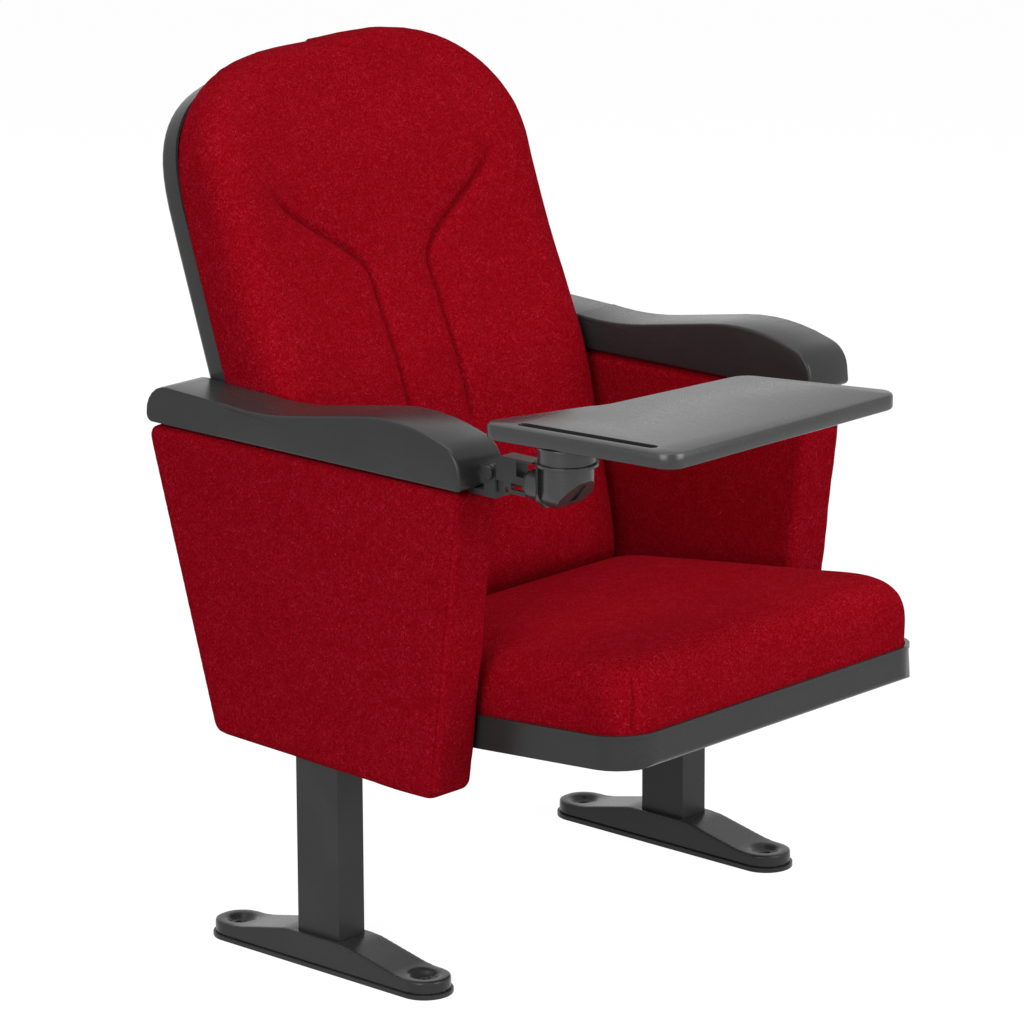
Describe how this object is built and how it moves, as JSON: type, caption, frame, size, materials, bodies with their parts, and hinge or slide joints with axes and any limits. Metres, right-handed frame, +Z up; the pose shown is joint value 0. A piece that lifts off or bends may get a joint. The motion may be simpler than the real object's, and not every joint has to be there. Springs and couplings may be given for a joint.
{
  "type": "tip-up auditorium seat",
  "caption": "Upholstered tip-up auditorium seat with padded side standards, shaped armrests, bolted feet and a fold-away writing tablet on a swinging arm.",
  "frame": {"origin": "on the floor, at the centre of the four floor bolt holes", "axes": "+Z up, -Y the way the seat faces, +X the sitter's left"},
  "size_m": [0.6209, 0.7909, 0.9171],
  "materials": {
    "red_fabric": "short soft pile, matt, deep red",
    "timber": "plain plywood and sawn rails, hidden",
    "dark_painted_steel": "dark charcoal, satin powder coat",
    "plain_steel": "zinc plated",
    "dark_plastic": "moulded, fine texture, satin dark charcoal",
    "tablet_plastic": "moulded, fine texture, satin dark grey",
    "bush_plastic": "smooth bearing plastic"
  },
  "bodies": {
    "base": {"right_foot_plate": "dark_painted_steel", "left_foot_plate": "dark_painted_steel", "right_foot_cover": "dark_plastic", "left_foot_cover": "dark_plastic", "right_post": "dark_painted_steel", "left_post": "dark_painted_steel", "right_arm_plate": "plain_steel", "left_arm_plate": "plain_steel", "right_front_rails": "timber", "left_front_rails": "timber", "right_rear_rails": "timber", "left_rear_rails": "timber", "right_outer_board": "timber", "left_outer_board": "timber", "right_inner_board": "timber", "left_inner_board": "timber", "right_panel_cover": "red_fabric", "left_panel_cover": "red_fabric", "right_armrest": "dark_plastic", "left_armrest": "dark_plastic", "armrest_screws": "plain_steel", "right_pivot_plate": "plain_steel", "left_pivot_plate": "plain_steel", "pivot_plate_screws": "plain_steel", "right_back_bracket": "plain_steel", "left_back_bracket": "plain_steel", "back_bracket_screws": "plain_steel", "back_shell": "dark_plastic", "back_board": "timber", "back_cushion": "red_fabric", "tablet_bracket": "dark_painted_steel", "tablet_pivot_bolt": "dark_painted_steel"},
    "seat": {"seat_pan": "dark_plastic", "seat_board": "timber", "seat_cushion": "red_fabric", "pan_screws": "plain_steel", "right_seat_bracket": "plain_steel", "left_seat_bracket": "plain_steel", "right_hinge_bush": "bush_plastic", "left_hinge_bush": "bush_plastic", "seat_bracket_screws": "plain_steel"},
    "arm": {"swing_arm": "dark_painted_steel", "flip_retainer": "plain_steel"},
    "tablet": {"tablet_housing": "tablet_plastic", "tablet_collar": "tablet_plastic", "tablet_screws": "plain_steel", "tablet_top": "tablet_plastic"}
  },
  "joints": [
    {"name": "seat_tilt", "type": "hinge", "parent": "base", "child": "seat", "pos_m": [0, -0.05, 0.262], "axis": [-1, 0, 0], "range_deg": [0, 70]},
    {"name": "arm_swing", "type": "hinge", "parent": "base", "child": "arm", "pos_m": [-0.275, -0.238, 0.577], "axis": [-1, 0, 0], "range_deg": [0, 60]},
    {"name": "tablet_flip", "type": "hinge", "parent": "arm", "child": "tablet", "pos_m": [-0.275, -0.3, 0.573], "axis": [0, -1, 0], "range_deg": [0, 90]}
  ]
}
